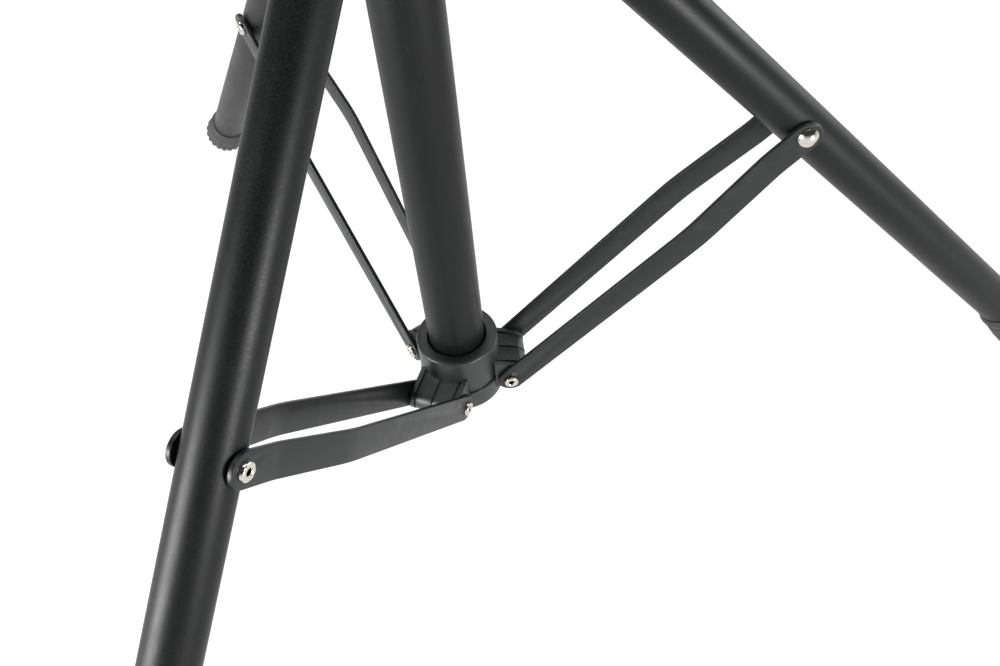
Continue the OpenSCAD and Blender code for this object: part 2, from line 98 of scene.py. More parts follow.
def leg_places(side):
    """The frames of a leg's lug, straps and tube, each with +Z up along the piece and +Y across it."""
    hub_pin = Vector(joints[f"straps_{side}_fold"]["pos_m"]) / MM
    leg_pin = Vector(joints[f"leg_{side}_fold"]["pos_m"]) / MM
    turn = Matrix.Rotation(math.atan2(hub_pin.y, hub_pin.x), 4, "Z")
    reach = leg_pin - hub_pin
    lean = math.atan2(reach.xy.length, reach.z)
    return {
        "lug": Matrix.Translation(hub_pin) @ turn,
        "strap": Matrix.Translation(hub_pin) @ turn @ Matrix.Rotation(lean, 4, "Y"),
        "tube": Matrix.Translation(leg_pin) @ turn @ Matrix.Rotation(-lean, 4, "Y"),
        "pitch": reach.length,
        "lean": lean,
    }


PLACES = {side: leg_places(side) for side in SIDES}
PITCH = PLACES["right"]["pitch"]
HUB_Z = PLACES["right"]["lug"].translation.z
RIVETS_LOW, RIVETS_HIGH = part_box("collar_rivets_right")
COLLAR_Z = mm(RIVETS_LOW.z + RIVETS_HIGH.z) / 2
STANDING = Matrix.Identity(4)
ACROSS = Matrix.Rotation(math.radians(90), 4, "X")


def at_height(z):
    """The frame at that height on the column's axis."""
    return Matrix.Translation((0, 0, z))


def boss_place(node):
    """The frame of a clamp screw: the middle of its box on the column's axis, with +Z outward."""
    a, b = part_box(node)
    middle = (a + b) / 2 / MM
    turn = Matrix.Rotation(math.atan2(middle.y, middle.x), 4, "Z")
    return Matrix.Translation((0, 0, middle.z)) @ turn @ Matrix.Rotation(math.radians(90), 4, "Y")


# ---- Modelling, in millimetres round the origin ----

def take(piece):
    """Selects the piece alone and makes it active."""
    bpy.ops.object.select_all(action="DESELECT")
    piece.select_set(True)
    bpy.context.view_layer.objects.active = piece


def rounded(corners, steps=5):
    """A line through (x, y, fillet) corners, each rounded with its own fillet."""
    points = []
    for i, (x, y, fillet) in enumerate(corners):
        here = Vector((x, y))
        if not fillet:
            points.append(here)
            continue
        back = (Vector(corners[i - 1][:2]) - here).normalized()
        ahead = (Vector(corners[(i + 1) % len(corners)][:2]) - here).normalized()
        half = back.angle(ahead) / 2
        centre = here + (back + ahead).normalized() * fillet / math.sin(half)
        first = here + back * fillet / math.tan(half) - centre
        last = here + ahead * fillet / math.tan(half) - centre
        for step in range(steps + 1):
            t = step / steps
            points.append(centre + (first * (1 - t) + last * t).normalized() * fillet)
    return points


def turned(name, corners, steps=96, ring=False):
    """A piece turned round Z from its (radius, height, fillet) outline. A ring's outline closes on itself."""
    points = rounded(corners)
    count = len(points)
    edges = [(i, (i + 1) % count) for i in range(count if ring else count - 1)]
    mesh = bpy.data.meshes.new(name)
    mesh.from_pydata([(p.x, 0, p.y) for p in points], edges, [])
    piece = bpy.data.objects.new(name, mesh)
    bpy.context.scene.collection.objects.link(piece)
    take(piece)
    bpy.ops.object.mode_set(mode="EDIT")
    bpy.ops.mesh.select_all(action="SELECT")
    bpy.ops.mesh.spin(steps=steps, angle=math.tau, center=(0, 0, 0), axis=(0, 0, 1))
    bpy.ops.mesh.select_all(action="SELECT")
    bpy.ops.mesh.remove_doubles(threshold=0.0005)
    bpy.ops.mesh.normals_make_consistent(inside=False)
    bpy.ops.object.mode_set(mode="OBJECT")
    return piece


def block(name, size, middle, edge):
    """A block with rounded edges."""
    bpy.ops.object.select_all(action="DESELECT")
    bpy.ops.mesh.primitive_cube_add(size=1, location=middle)
    piece = bpy.context.object
    piece.name = name
    piece.scale = size
    bpy.ops.object.transform_apply(location=True, rotation=True, scale=True)
    bpy.ops.object.mode_set(mode="EDIT")
    bpy.ops.mesh.select_all(action="SELECT")
    bpy.ops.mesh.bevel(offset=edge, segments=3, affect="EDGES")
    bpy.ops.object.mode_set(mode="OBJECT")
    return piece


def slab(name, outline, width, edge):
    """A piece whose side view in XZ is the outline, of that width across Y, with rounded edges."""
    mesh = bpy.data.meshes.new(name)
    mesh.from_pydata([(p.x, -width / 2, p.y) for p in outline], [], [list(range(len(outline)))])
    piece = bpy.data.objects.new(name, mesh)
    bpy.context.scene.collection.objects.link(piece)
    take(piece)
    bpy.ops.object.mode_set(mode="EDIT")
    bpy.ops.mesh.select_all(action="SELECT")
    bpy.ops.mesh.extrude_region_move(TRANSFORM_OT_translate={"value": (0, width, 0)})
    bpy.ops.mesh.select_all(action="SELECT")
    bpy.ops.mesh.normals_make_consistent(inside=False)
    bpy.ops.mesh.select_all(action="DESELECT")
    bpy.ops.mesh.select_mode(type="EDGE")
    bpy.ops.mesh.edges_select_sharp(sharpness=math.radians(50))
    bpy.ops.mesh.bevel(offset=edge, segments=4, affect="EDGES")
    bpy.ops.object.mode_set(mode="OBJECT")
    return piece


def rod(radius, length, place=STANDING, sides=64):
    """A plain round cutter along Z."""
    bpy.ops.object.select_all(action="DESELECT")
    bpy.ops.mesh.primitive_cylinder_add(vertices=sides, radius=radius, depth=length)
    piece = bpy.context.object
    piece.data.transform(place)
    return piece


def moved(piece, place):
    """The piece, with its mesh put in that place."""
    piece.data.transform(place)
    return piece


def combine(piece, other, operation="UNION"):
    """Joins the other piece to this one, or cuts it away, and removes the other."""
    take(piece)
    bpy.ops.object.modifier_add(type="BOOLEAN")
    boolean = piece.modifiers[-1]
    boolean.operation, boolean.object, boolean.solver = operation, other, "EXACT"
    bpy.ops.object.modifier_apply(modifier=boolean.name)
    bpy.data.objects.remove(other)
    return piece


def cut(piece, other):
    """Cuts the other piece away from this one."""
    return combine(piece, other, "DIFFERENCE")


def settle(piece, place, material, body, slot, *nodes, smooth=32):
    """Puts a finished piece in its place, with its material, on its body, in place of its nodes."""
    piece.data.transform(Matrix.Scale(MM, 4) @ place)
    take(piece)
    bpy.ops.object.shade_smooth_by_angle(angle=math.radians(smooth))
    piece.data.materials.clear()
    piece.data.materials.append(material)
    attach(piece, body)
    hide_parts(*nodes)
    return piece


def copied(piece, name):
    """A copy with a mesh of its own."""
    twin = piece.copy()
    twin.data = piece.data.copy()
    twin.name = name
    bpy.context.scene.collection.objects.link(twin)
    return twin


# ---- Materials ----

def linear(colour):
    """An sRGB hex colour as linear RGBA."""
    channels = [int(colour[i:i + 2], 16) / 255 for i in (1, 3, 5)]
    return [c / 12.92 if c <= 0.04045 else ((c + 0.055) / 1.055) ** 2.4 for c in channels] + [1]


def add(tree, kind, settings=None, **inputs):
    """Adds a node with its settings, and sets or links each input that is named."""
    node = tree.nodes.new(f"ShaderNode{kind}")
    for name, value in (settings or {}).items():
        setattr(node, name, value)
    for name, value in inputs.items():
        place = node.inputs[int(name[1:])] if name[1:].isdigit() else node.inputs[name.replace("_", " ")]
        if isinstance(value, bpy.types.NodeSocket):
            tree.links.new(value, place)
        else:
            place.default_value = value
    return node


def surface(name, **values):
    """A material with its shader and the piece's own coordinates."""
    material = bpy.data.materials.new(name)
    material.use_nodes = True
    tree = material.node_tree
    tree.nodes.clear()
    shader = add(tree, "BsdfPrincipled", **values)
    add(tree, "OutputMaterial", Surface=shader.outputs[0])
    coords = add(tree, "TexCoord").outputs["Object"]
    return material, tree, shader, coords


def grain(tree, coords, size_mm, detail=3, roughness=0.5):
    """Noise whose features are about size_mm across."""
    return add(tree, "TexNoise", Vector=coords, Scale=1 / (size_mm * MM), Detail=detail,
               Roughness=roughness).outputs[0]


def spread(tree, value, low_in, high_in, low_out, high_out):
    """The value, stretched from one range to another."""
    return add(tree, "MapRange", Value=value, From_Min=low_in, From_Max=high_in,
               To_Min=low_out, To_Max=high_out).outputs[0]


def between(tree, factor, first, second):
    """A colour between two hex colours."""
    return add(tree, "Mix", {"data_type": "RGBA"}, Factor=factor,
               _6=linear(first), _7=linear(second)).outputs[2]


def relief(tree, height, depth_mm, strength):
    """A normal raised by the height, depth_mm deep at full strength."""
    return add(tree, "Bump", Height=height, Distance=depth_mm * MM, Strength=strength).outputs[0]


def powder_coat():
    """Black epoxy powder coat, sprayed and baked: a fine leathery texture that breaks up the gloss."""
    material, tree, shader, coords = surface("black_powder_coat", IOR=1.5, Specular_IOR_Level=0.2)
    texture = grain(tree, coords, 0.9, 4, 0.6)
    cloud = grain(tree, coords, 28, 3)
    speck = spread(tree, texture, 0.42, 0.72, 0, 1)
    tone = between(tree, speck, "#0a0c0b", "#131615")
    tint = between(tree, cloud, "#d8dcda", "#ffffff")
    colour = add(tree, "Mix", {"data_type": "RGBA", "blend_type": "MULTIPLY"}, Factor=1.0, _6=tone, _7=tint)
    tree.links.new(colour.outputs[2], shader.inputs["Base Color"])
    gloss = add(tree, "Math", {"operation": "ADD"}, _0=spread(tree, texture, 0.3, 0.7, 0.36, 0.48),
                _1=spread(tree, cloud, 0.3, 0.7, -0.03, 0.04)).outputs[0]
    tree.links.new(gloss, shader.inputs["Roughness"])
    tree.links.new(relief(tree, texture, 0.09, 0.4), shader.inputs["Normal"])
    return material


def strap_enamel():
    """Satin black enamel on punched steel strip: smooth, with a faint orange peel and light rub marks."""
    material, tree, shader, coords = surface("satin_black_enamel", IOR=1.5, Specular_IOR_Level=0.34)
    peel = grain(tree, coords, 1.6, 2)
    rub = grain(tree, coords, 9, 5, 0.62)
    colour = between(tree, spread(tree, rub, 0.52, 0.75, 0, 1), "#141617", "#202324")
    tree.links.new(colour, shader.inputs["Base Color"])
    tree.links.new(spread(tree, rub, 0.3, 0.7, 0.34, 0.47), shader.inputs["Roughness"])
    tree.links.new(relief(tree, peel, 0.05, 0.35), shader.inputs["Normal"])
    return material


def moulded_nylon(name, dark, pale, gloss):
    """Glass-filled black nylon from a spark-eroded mould: an even fine grain with duller flow clouds."""
    material, tree, shader, coords = surface(name, IOR=1.53)
    spark = grain(tree, coords, 0.7, 3, 0.55)
    flow = grain(tree, coords, 14, 3)
    tree.links.new(between(tree, flow, dark, pale), shader.inputs["Base Color"])
    rough = add(tree, "Math", {"operation": "ADD"},
                _0=spread(tree, flow, 0.3, 0.7, gloss - 0.05, gloss + 0.06),
                _1=spread(tree, spark, 0.3, 0.7, -0.04, 0.04)).outputs[0]
    tree.links.new(rough, shader.inputs["Roughness"])
    tree.links.new(relief(tree, spark, 0.05, 0.45), shader.inputs["Normal"])
    return material


def plain_nylon():
    """Natural nylon, turned: milky and slightly waxy, with faint tool marks."""
    material, tree, shader, coords = surface("natural_nylon", IOR=1.53, Subsurface_Weight=0.15,
                                             Subsurface_Scale=0.002)
    haze = grain(tree, coords, 6, 3)
    tree.links.new(between(tree, haze, "#cfcdc2", "#e2e0d6"), shader.inputs["Base Color"])
    tree.links.new(spread(tree, haze, 0.3, 0.7, 0.38, 0.52), shader.inputs["Roughness"])
    tree.links.new(relief(tree, grain(tree, coords, 0.8, 2), 0.03, 0.3), shader.inputs["Normal"])
    return material


def plated(name, dark, pale, low_gloss, high_gloss, scratch_mm):
    """Plated metal: bright, with fine handling scratches and slightly duller patches."""
    material, tree, shader, coords = surface(name, Metallic=1.0)
    patch = grain(tree, coords, 3.5, 4, 0.6)
    scratch = grain(tree, coords, scratch_mm, 5, 0.7)
    tree.links.new(between(tree, patch, dark, pale), shader.inputs["Base Color"])
    tree.links.new(spread(tree, patch, 0.3, 0.7, low_gloss, high_gloss), shader.inputs["Roughness"])
    tree.links.new(relief(tree, scratch, 0.02, 0.25), shader.inputs["Normal"])
    return material


def rubber(name, dark, pale, gloss):
    """Moulded rubber: matte, with a dusty bloom and a soft uneven skin."""
    material, tree, shader, coords = surface(name, IOR=1.52, Specular_IOR_Level=0.4)
    bloom = grain(tree, coords, 8, 5, 0.6)
    skin = grain(tree, coords, 1.1, 3)
    dust = spread(tree, bloom, 0.35, 0.7, 0, 1)
    tree.links.new(between(tree, dust, dark, pale), shader.inputs["Base Color"])
    tree.links.new(spread(tree, bloom, 0.3, 0.7, gloss - 0.06, gloss + 0.08), shader.inputs["Roughness"])
    tree.links.new(relief(tree, skin, 0.08, 0.5), shader.inputs["Normal"])
    return material


def studio_white():
    """White light table under matt paper: lit from below, with a barely visible tooth."""
    material, tree, shader, coords = surface("white_paper", Roughness=0.9, Specular_IOR_Level=0.2,
                                             Emission_Color=linear("#ffffff"), Emission_Strength=0.88)
    tooth = grain(tree, coords, 60, 3)
    tree.links.new(between(tree, tooth, "#7b7b7a", "#80807f"), shader.inputs["Base Color"])
    return material


POWDER = powder_coat()
ENAMEL = strap_enamel()
NYLON = moulded_nylon("black_glass_nylon", "#161818", "#1f2222", 0.40)
KNOB = moulded_nylon("grained_black_nylon", "#141515", "#1c1d1d", 0.52)
NATURAL = plain_nylon()
NICKEL = plated("polished_nickel", "#b9b3a8", "#dcd8cf", 0.07, 0.17, 0.7)
ZINC = plated("bright_zinc", "#9fa4a6", "#c4c8c8", 0.24, 0.42, 0.5)
BRASS = plated("turned_brass", "#a6854a", "#c9a766", 0.22, 0.36, 0.6)
FOOT_RUBBER = rubber("grey_black_rubber", "#2b2c2b", "#3c3e3c", 0.62)
PAD_RUBBER = rubber("black_rubber", "#1a1a1a", "#252525", 0.68)


# ---- Tubes ----

def lower_end(side):
    """How far the end of a leg tube lies below the strap pin, from the tube's reach along X."""
    lean = PLACES[side]["lean"]
    reach = mm(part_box(f"leg_tube_{side}")[1].x) - PLACES[side]["tube"].translation.x
    return (reach - LEG_R * math.cos(lean)) / math.sin(lean)


TUBE_LOW = -lower_end("right")
TUBE_HIGH = PITCH - 20    # where a leg tube ends, under its eye


def tube(name, radius, wall, z_low, z_high):
    """A drawn tube with its ends deburred."""
    inner, soft = radius - wall, 0.35
    return turned(name, [
        (radius, z_low, soft), (radius, z_high, soft), (inner, z_high, soft), (inner, z_low, soft),
    ], steps=128, ring=True)


def make_tubes():
    column = tube("centre_column", COLUMN_R, COLUMN_WALL, low("column_tube"), high("column_tube"))
    settle(column, STANDING, POWDER, "column", "tube_paint", "column_tube")
    mast = tube("sliding_mast", MAST_R, MAST_WALL, low("mast_tube"), high("mast_tube"))
    settle(mast, STANDING, POWDER, "mast", "tube_paint", "mast_tube")
    for side in SIDES:
        leg = tube(f"{side}_leg", LEG_R, LEG_WALL, TUBE_LOW, TUBE_HIGH)
        settle(leg, PLACES[side]["tube"], POWDER, f"leg_{side}", "tube_paint", f"leg_tube_{side}")


# ---- Rivets ----

def rolled_end(half):
    """Outline of a tubular rivet's rolled end on top of its shank, from the bore outward."""
    return [
        (RIVET_R - RIVET_WALL, half - 3, 0), (RIVET_R - RIVET_WALL, half + 1.5, 0.3),
        (RIVET_R - 0.2, half + 2, 0.35), (4.1, half + 1.9, 0.9), (4.5, half + 0.5, 0.4),
        (4.4, half, 0.1), (RIVET_R, half, 0),
    ]


def crimp(piece, start, depth=0.16, petals=8):
    """Presses the rolled ends into petals, as a star punch leaves them."""
    for v in piece.data.vertices:
        r = math.hypot(v.co.x, v.co.y)
        if abs(v.co.z) > start + 0.3 and r > RIVET_R - 0.5:
            turn = math.atan2(v.co.y, v.co.x)
            dent = depth * (0.5 - 0.5 * math.cos(petals * turn)) * min(1, (r - RIVET_R + 0.5) / 1.5)
            v.co.z -= math.copysign(dent, v.co.z)


def make_hub_rivets():
    """A tube through each lug and its two straps, rolled over at both ends."""
    half = STRAP_AT_HUB + STRAP_T / 2 + RUN
    top = rolled_end(half)
    bottom = [(r, -z, fillet) for r, z, fillet in reversed(top)]
    for side in SIDES:
        rivet = turned(f"{side}_hub_rivet", top[1:] + bottom[:-1], steps=64, ring=True)
        crimp(rivet, half)
        settle(rivet, PLACES[side]["lug"] @ ACROSS, NICKEL, "column", "nickel", f"hub_rivet_{side}",
               smooth=50)


def make_leg_rivets():
    """A bolt through each leg and its two straps: a domed head on one side, a rolled end on the other."""
    half = STRAP_AT_LEG + STRAP_T / 2 + RUN
    lip, steps = 0.5, 14
    ball = (DOME_R ** 2 + (DOME_H - lip) ** 2) / (2 * (DOME_H - lip))
    sweep = math.asin(DOME_R / ball)
    dome = [(ball * math.sin(sweep * i / steps), half + DOME_H - ball * (1 - math.cos(sweep * i / steps)), 0)
            for i in range(steps)]
    tail = [(r, -z, fillet) for r, z, fillet in reversed(rolled_end(half))]
    for side in SIDES:
        rivet = turned(f"{side}_leg_rivet", dome + [
            (DOME_R, half + lip, 0.25), (DOME_R - 0.1, half, 0.15), (RIVET_R, half, 0),
        ] + tail[:-1] + [(RIVET_R - RIVET_WALL, -half + 3, 0), (0, -half + 3, 0)], steps=64)
        crimp_tail(rivet, half)
        settle(rivet, PLACES[side]["tube"] @ ACROSS, NICKEL, f"leg_{side}", "nickel", f"leg_rivet_{side}",
               smooth=50)


def crimp_tail(rivet, half):
    """Crimps only the rolled end, and leaves the dome smooth."""
    dome = {v.index: v.co.z for v in rivet.data.vertices if v.co.z > 0}
    crimp(rivet, half)
    for index, z in dome.items():
        rivet.data.vertices[index].co.z = z


# ---- Straps ----

def bow_of_strap():
    """Points of the strap's middle line: its distance from the hub pin, and from the leg's middle plane."""
    rise = (STRAP_AT_CREST - STRAP_AT_HUB) / STRAP_CREST
    return rounded([
        (-STRAP_W, STRAP_AT_HUB - rise * STRAP_W, 0), (STRAP_CREST, STRAP_AT_CREST, 130),
        (PITCH - STRAP_FLAT, STRAP_AT_LEG, 60), (PITCH + STRAP_W, STRAP_AT_LEG, 0),
    ], steps=10)


def strap_blank(name):
    """A flat strip with round ends, two holes and dulled edges, cut across where it will bend."""
    piece = block(name, (STRAP_W, STRAP_T, PITCH + STRAP_W), (0, 0, PITCH / 2), 0)
    take(piece)
    bpy.ops.object.mode_set(mode="EDIT")
    mesh = bmesh.from_edit_mesh(piece.data)
    for edge in mesh.edges:
        edge.select_set(abs(edge.verts[0].co.y - edge.verts[1].co.y) > STRAP_T / 2)
    bmesh.update_edit_mesh(piece.data)
    bpy.ops.mesh.bevel(offset=STRAP_W / 2 - 0.01, segments=16, affect="EDGES")
    bpy.ops.mesh.select_all(action="SELECT")
    bpy.ops.mesh.remove_doubles(threshold=0.03)
    bpy.ops.object.mode_set(mode="OBJECT")
    for z in (0, PITCH):
        cut(piece, rod(RIVET_R + RUN, 4 * STRAP_T, at_height(z) @ ACROSS, 48))
    take(piece)
    bpy.ops.object.mode_set(mode="EDIT")
    for point in bow_of_strap()[1:-1]:
        bpy.ops.mesh.select_all(action="SELECT")
        bpy.ops.mesh.bisect(plane_co=(0, 0, point.x), plane_no=(0, 0, 1))
    bpy.ops.mesh.select_all(action="DESELECT")
    bpy.ops.mesh.select_mode(type="EDGE")
    bpy.ops.mesh.edges_select_sharp(sharpness=math.radians(60))
    bpy.ops.mesh.bevel(offset=0.45, segments=3, affect="EDGES")
    bpy.ops.object.mode_set(mode="OBJECT")
    return piece


def bow(piece, side):
    """Moves each point of a flat strip out to the strap's line."""
    line = bow_of_strap()
    for v in piece.data.vertices:
        near = max(1, next((i for i, p in enumerate(line) if p.x > v.co.z), len(line) - 1))
        a, b = line[near - 1], line[near]
        v.co.y = side * (v.co.y + a.y + (b.y - a.y) * (v.co.z - a.x) / (b.x - a.x))
    if side < 0:
        piece.data.flip_normals()


def make_straps():
    blank = strap_blank("strap_blank")
    for side in SIDES:
        for letter, across in (("a", -1), ("b", 1)):
            strap = copied(blank, f"{side}_strap_{letter}")
            bow(strap, across)
            settle(strap, PLACES[side]["strap"], ENAMEL, f"straps_{side}", "strap_paint",
                   f"strap_{side}_{letter}")
    bpy.data.objects.remove(blank)


# ---- Hub ----

HUB_R = 24.9
HUB_UP = 30               # the rim above the pins, and the bottom under them
HUB_DOWN = 15
NOSE_OUT = 3.5            # the nose's centre, outward from the pin and above it
NOSE_UP = 2.5
LUG_SLOPE = math.radians(72)
LUG_ROOT = 3.4            # how deep the hub's wall hides a lug's root


def arc(centre, radius, start, end, steps):
    return [Vector((centre[0] + radius * math.cos(start + (end - start) * i / steps),
                    centre[1] + radius * math.sin(start + (end - start) * i / steps)))
            for i in range(steps + 1)]


def lug_side(depth, web):
    """Side view of a lug: round under the pin, then the nose, then a top that slopes up to the hub."""
    radius = LUG_R - depth
    turn = math.atan2(NOSE_UP, NOSE_OUT) - math.pi / 2
    top = NOSE_UP + (radius + (web + NOSE_OUT) * math.cos(LUG_SLOPE)) / math.sin(LUG_SLOPE)
    return ([Vector((-web, -radius))] + arc((0, 0), radius, -math.pi / 2, turn, 8)
            + arc((NOSE_OUT, NOSE_UP), radius, turn, LUG_SLOPE, 24)[1:] + [Vector((-web, top))])


def make_lug():
    """Two end flanges and two bands round a narrower waist, with the pin's bore."""
    web = PIN_R - COLUMN_R - LUG_ROOT
    waist, flange, band = 1.3, 1.6, 5.1
    lug = slab("lug", lug_side(waist, web), 2 * LUG_HALF - 1, 0.3)
    for side in (-1, 1):
        edge = slab("flange", lug_side(0, web), 2 * flange, 0.5)
        combine(lug, moved(edge, Matrix.Translation((0, side * (LUG_HALF - flange), 0))))
        strip_band = slab("band", lug_side(0.35, web), 2 * band, 0.45)
        combine(lug, moved(strip_band, Matrix.Translation((0, side * 6, 0))))
    return lug


def make_hub():
    """A turned body with an open rim and a stepped lower ring, and three lugs that each carry a pin."""
    rim_in, ring_r, groove_r, screw_r = COLUMN_R + 0.8, HUB_R + 0.8, HUB_R - 0.7, 3.4
    hub = turned("moulded_hub", [
        (screw_r, -HUB_DOWN, 0.3), (ring_r - 2.4, -HUB_DOWN, 1.2), (ring_r, 1.8 - HUB_DOWN, 1),
        (ring_r, 0.5, 0.6), (groove_r, 1.4, 0.3), (groove_r, 2.9, 0.3), (HUB_R, 3.7, 0.4),
        (HUB_R, HUB_UP, 1.7), (rim_in, HUB_UP, 0.8), (rim_in, 18, 0.4), (COLUMN_R + FIT, 18, 0.2),
        (COLUMN_R + FIT, -11, 0.2), (screw_r, -11, 0.2),
    ], steps=128, ring=True)
    lug = make_lug()
    for side in SIDES:
        to_lug = at_height(-HUB_Z) @ PLACES[side]["lug"]
        combine(hub, moved(copied(lug, "lug_copy"), to_lug))
        cut(hub, rod(RIVET_R + 0.05, 2 * LUG_HALF + 2, to_lug @ ACROSS))
    bpy.data.objects.remove(lug)
    cut(hub, rod(COLUMN_R + FIT, 29, at_height(3.5), 128))
    settle(hub, at_height(HUB_Z), NYLON, "column", "black_moulding", "hub")


# ---- Feet ----

FOOT_R = 17.2
FLUTES = 20
FOOT_SOLE = 10.8          # rubber under the end of the tube
FOOT_H = 33
FLUTE_DEPTH = 1.3


def make_feet():
    """A rubber cap with a thin-edged lip, a deep groove and a flared tread whose edge is scalloped."""
    bottom = TUBE_LOW - FOOT_SOLE
    top, lip_r, groove_r = bottom + FOOT_H, LEG_R + 2.2, LEG_R + 0.9
    for side in SIDES:
        foot = turned(f"{side}_foot", [
            (0, bottom + 1.5, 0), (9, bottom + 1.5, 0.4), (10, bottom + 0.3, 0.4), (11.5, bottom, 0.4),
            (FOOT_R, bottom, 3.4), (FOOT_R - 0.2, bottom + 6, 1), (lip_r + 0.2, top - 11, 0.4),
            (groove_r, top - 10.4, 0.4), (groove_r, top - 8.2, 0.4), (lip_r, top - 7.6, 0.5),
            (lip_r, top - 4, 1.5), (LEG_R + 0.5, top, 0.2), (LEG_R + FIT, top, 0.1),
            (LEG_R + FIT, TUBE_LOW, 0), (0, TUBE_LOW, 0),
        ], steps=6 * FLUTES)
        scallop(foot, bottom, top - 10.5)
        settle(foot, PLACES[side]["tube"], FOOT_RUBBER, f"leg_{side}", "foot_rubber", f"rubber_foot_{side}")


def scallop(foot, bottom, top):
    """Presses hollows into the tread's side, deepest at its edge."""
    for v in foot.data.vertices:
        r = math.hypot(v.co.x, v.co.y)
        if r < LEG_R + 1.5 or v.co.z > top:
            continue
        wave = 0.5 + 0.5 * math.cos(FLUTES * math.atan2(v.co.y, v.co.x) + math.pi)
        depth = FLUTE_DEPTH * wave ** 1.5 * (top - v.co.z) / (top - bottom)
        v.co.x *= 1 - depth / r
        v.co.y *= 1 - depth / r


# ---- Leg tops ----

def make_leg_plugs():
    """The moulded eye in the top of each leg."""
    eye_r, half, deep = 9, 12.4, 28
    inner, shoulder = LEG_R - LEG_WALL - FIT, LEG_R - 0.8
    for side in SIDES:
        plug = turned(f"{side}_leg_eye", [
            (0, TUBE_HIGH - deep, 0), (inner, TUBE_HIGH - deep, 1), (inner, TUBE_HIGH, 0),
            (shoulder, TUBE_HIGH, 0.2), (shoulder, TUBE_HIGH + 2, 0.5), (0, TUBE_HIGH + 2, 0),
        ])
        neck = block("neck", (2 * eye_r, 2 * half - 3, PITCH - TUBE_HIGH), (0, 0, (PITCH + TUBE_HIGH) / 2), 1)
        eye = turned("eye", [
            (0, -half, 0), (eye_r, -half, 0.8), (eye_r, half, 0.8), (0, half, 0),
        ], steps=64)
        combine(combine(plug, neck), moved(eye, at_height(PITCH) @ ACROSS))
        cut(plug, rod(RIVET_R + 1.55, 40, at_height(PITCH) @ ACROSS))
        settle(plug, PLACES[side]["tube"], NYLON, f"leg_{side}", "black_moulding", f"leg_plug_{side}")


# ---- Collar ----

SLEEVE_R = 20.6
EAR_IN = 0.45             # gap between an ear and the leg's side
EAR_T = 4
SCREW_R = 4.1             # bore for a clamp screw or the swivel bolt


def make_collar():
    """A sleeve with three forked ears and a clamp boss."""
    bore, top = 18.3, high("leg_collar") - COLLAR_Z
    ear_in, ear_r = LEG_R + EAR_IN, 9
    collar = turned("leg_collar_moulding", [
        (bore, -10, 0.3), (SLEEVE_R - 1, -10, 0.5), (SLEEVE_R, -7, 1), (SLEEVE_R, top - 9, 0.6),
        (SLEEVE_R + 2, top - 7, 0.6), (SLEEVE_R + 2, top, 1.2), (bore, top, 0.4),
    ], steps=128, ring=True)
    for side in SIDES:
        to_pin = at_height(-HUB_Z) @ PLACES[side]["lug"]
        for across in (-1, 1):
            middle = across * (ear_in + EAR_T / 2)
            ear = turned("ear", [
                (RIVET_R + RUN, -EAR_T / 2, 0), (ear_r, -EAR_T / 2, 0.6), (ear_r, EAR_T / 2, 0.6),
                (RIVET_R + RUN, EAR_T / 2, 0),
            ], steps=64, ring=True)
            arm = block("arm", (15, EAR_T - 0.1, 2 * ear_r - 0.1), (-11.2, middle, 0), 0.5)
            rib = block("rib", (6, EAR_T - 0.2, top - 8), (-12.6, middle, (top - 8) / 2), 0.5)
            combine(collar, moved(arm, to_pin))
            combine(collar, moved(rib, to_pin))
            combine(collar, moved(ear, to_pin @ Matrix.Translation((0, middle, 0)) @ ACROSS))
    place = boss_place("collar_knob")
    boss = turned("boss", [
        (0, COLUMN_R + 2, 0), (8, COLUMN_R + 2, 0), (8, SLEEVE_R + 12, 0.8), (0, SLEEVE_R + 12, 0),
    ], steps=64)
    combine(collar, moved(boss, at_height(-COLLAR_Z) @ place))
    cut(collar, rod(bore, 4 * top, sides=128))
    cut(collar, rod(SCREW_R, 200, at_height(-COLLAR_Z) @ place @ at_height(100)))
    settle(collar, at_height(COLLAR_Z), NYLON, "collar", "black_moulding", "leg_collar")


def make_collar_rivets():
    """Domed stubs in the ears."""
    start, end = LEG_R + EAR_IN, LEG_R + EAR_IN + EAR_T
    stub = [
        (0, start, 0), (RIVET_R, start, 0.3), (RIVET_R, end, 0), (4.5, end, 0.1), (4.4, end + 0.8, 0.5),
        (3, end + 1.8, 1), (0, end + 2, 0),
    ]
    for side in SIDES:
        rivets = turned(f"{side}_collar_rivets", stub, steps=48)
        other = turned("other", stub, steps=48)
        other.data.transform(Matrix.Rotation(math.pi, 4, "X"))
        take(rivets)
        other.select_set(True)
        bpy.ops.object.join()
        place = at_height(COLLAR_Z - HUB_Z) @ PLACES[side]["lug"] @ ACROSS
        settle(rivets, place, NICKEL, "collar", "nickel", f"collar_rivets_{side}", smooth=50)


# ---- Knobs ----

def make_knob(name, node, body):
    """A six-lobed grip with a neck and a shallow cap."""
    lobes, neck, thick, waist, screw_r = 6, 5, 13, 12, 4.05
    place = boss_place(node)
    near, far = (place.inverted() @ (corner / MM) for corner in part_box(node))
    start = max(near.z, far.z) - neck - thick
    end = start + neck + thick
    knob = turned(name, [
        (screw_r, start, 0), (8, start, 0.5), (8, start + neck, 1), (KNOB_R, start + neck, 2.5),
        (KNOB_R, end, 3), (11.5, end, 0.6), (11, end - 0.7, 0.4), (0, end - 0.9, 0),
        (0, start + 11, 0), (screw_r, start + 11, 0),
    ], steps=120)
    for v in knob.data.vertices:
        r = math.hypot(v.co.x, v.co.y)
        if r > waist and v.co.z > start + neck - 0.5:
            wave = 0.5 - 0.5 * math.cos(lobes * math.atan2(v.co.y, v.co.x))
            pull = 3.4 * wave ** 1.3 * (r - waist) / (KNOB_R - waist)
            v.co.x *= 1 - pull / r
            v.co.y *= 1 - pull / r
    settle(knob, place, KNOB, body, "knob_plastic", node)


# ---- Mast clamp and head ----

